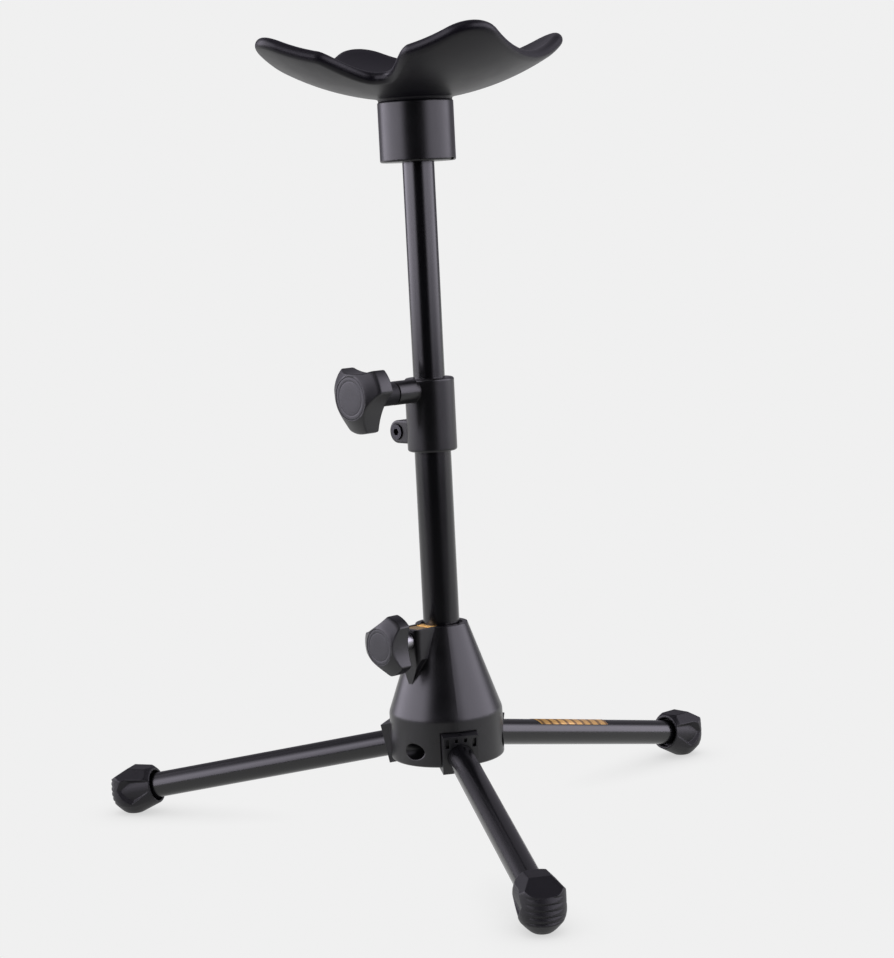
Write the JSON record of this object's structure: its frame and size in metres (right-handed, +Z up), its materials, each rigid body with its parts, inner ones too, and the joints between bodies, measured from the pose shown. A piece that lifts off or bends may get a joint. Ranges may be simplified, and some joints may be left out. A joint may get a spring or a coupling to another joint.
{
  "type": "wind instrument floor stand",
  "caption": "Low folding tripod stand for a large wind instrument, with a telescoping clamped column and a dished, notched cradle on top.",
  "frame": {"origin": "on the floor, at the middle of the outline of the three feet; the column's axis is 53 mm behind it along +Y", "axes": "+Z up the column; the front leg points along -Y; +X to the right seen from the front leg's side"},
  "size_m": [0.3958, 0.3466, 0.477],
  "materials": {
    "black_tube": "gloss black powder coat",
    "satin_housing": "satin black moulded nylon",
    "black_plastic": "semi-matte black moulded plastic",
    "knob_plastic": "semi-matte black moulded plastic",
    "disc_plastic": "fine matte dark grey plastic",
    "foot_rubber": "matte charcoal rubber",
    "cradle_plastic": "satin charcoal soft plastic",
    "brass": "turned brass",
    "pad_plastic": "yellow acetal",
    "steel": "zinc-plated steel",
    "black_steel": "blackened steel",
    "gold_band": "gold printed film"
  },
  "bodies": {
    "base": {"base_housing": "satin_housing", "base_bush": "black_plastic", "base_clamp_nut": "brass", "leg_pivot_front": "black_steel", "leg_pivot_right": "black_steel", "leg_pivot_left": "black_steel"},
    "leg_front": {"leg_block_front": "black_plastic", "leg_tube_front": "black_tube", "leg_rivet_front": "black_steel", "foot_front": "foot_rubber"},
    "leg_right": {"leg_block_right": "black_plastic", "leg_tube_right": "black_tube", "leg_rivet_right": "black_steel", "foot_right": "foot_rubber", "leg_band": "gold_band"},
    "leg_left": {"leg_block_left": "black_plastic", "leg_tube_left": "black_tube", "leg_rivet_left": "black_steel", "foot_left": "foot_rubber"},
    "base_pad": {"base_clamp_pad": "pad_plastic"},
    "lower_knob": {"lower_knob": "knob_plastic", "lower_knob_disc": "disc_plastic", "lower_knob_stud": "steel"},
    "lower_post": {"lower_tube": "black_tube", "lower_tube_plug": "black_plastic", "clamp_collar": "satin_housing", "clamp_screw": "black_steel", "clamp_nut": "black_steel", "neck_insert": "brass"},
    "neck_pad": {"neck_clamp_pad": "pad_plastic"},
    "upper_knob": {"upper_knob": "knob_plastic", "upper_knob_disc": "disc_plastic", "upper_knob_stud": "steel"},
    "guide": {"tube_guide": "black_plastic"},
    "upper_post": {"upper_tube": "black_tube", "tube_top_plug": "black_plastic", "cradle_hub": "satin_housing", "cradle_dish": "cradle_plastic", "cradle_screw": "black_steel"}
  },
  "joints": [
    {"name": "leg_fold_front", "type": "hinge", "parent": "base", "child": "leg_front", "pos_m": [0, 0.03, 0.05332], "axis": [1, 0, 0], "range_deg": [0, 78]},
    {"name": "leg_fold_right", "type": "hinge", "parent": "base", "child": "leg_right", "pos_m": [0.01992, 0.0645, 0.05332], "axis": [-0.5, 0.866, 0], "range_deg": [0, 78]},
    {"name": "leg_fold_left", "type": "hinge", "parent": "base", "child": "leg_left", "pos_m": [-0.01992, 0.0645, 0.05332], "axis": [-0.5, -0.866, 0], "range_deg": [0, 78]},
    {"name": "lower_tube_slide", "type": "slide", "parent": "base", "child": "lower_post", "axis": [0, 0, 1], "range_m": [-0.04, 0.04]},
    {"name": "upper_tube_slide", "type": "slide", "parent": "lower_post", "child": "guide", "axis": [0, 0, 1], "range_m": [-0.12, 0.04]},
    {"name": "cradle_swivel", "type": "hinge", "parent": "guide", "child": "upper_post", "pos_m": [0, 0.053, 0.42], "axis": [0, 0, 1], "continuous": true},
    {"name": "base_pad_slide", "type": "slide", "parent": "base", "child": "base_pad", "axis": [-0.866, -0.5, 0], "range_m": [0, 0.0016]},
    {"name": "lower_knob_turn", "type": "hinge", "parent": "base_pad", "child": "lower_knob", "pos_m": [0, 0.053, 0.119], "axis": [-0.866, -0.5, 0], "range_deg": [0, 540]},
    {"name": "neck_pad_slide", "type": "slide", "parent": "lower_post", "child": "neck_pad", "axis": [-0.866, -0.5, 0], "range_m": [0, 0.0016]},
    {"name": "upper_knob_turn", "type": "hinge", "parent": "neck_pad", "child": "upper_knob", "pos_m": [0, 0.053, 0.268], "axis": [-0.866, -0.5, 0], "range_deg": [0, 540]}
  ],
  "couplings": [
    {"joint": "base_pad_slide", "follows": "lower_knob_turn", "m_per_rad": 0.00015915},
    {"joint": "neck_pad_slide", "follows": "upper_knob_turn", "m_per_rad": 0.00015915}
  ]
}
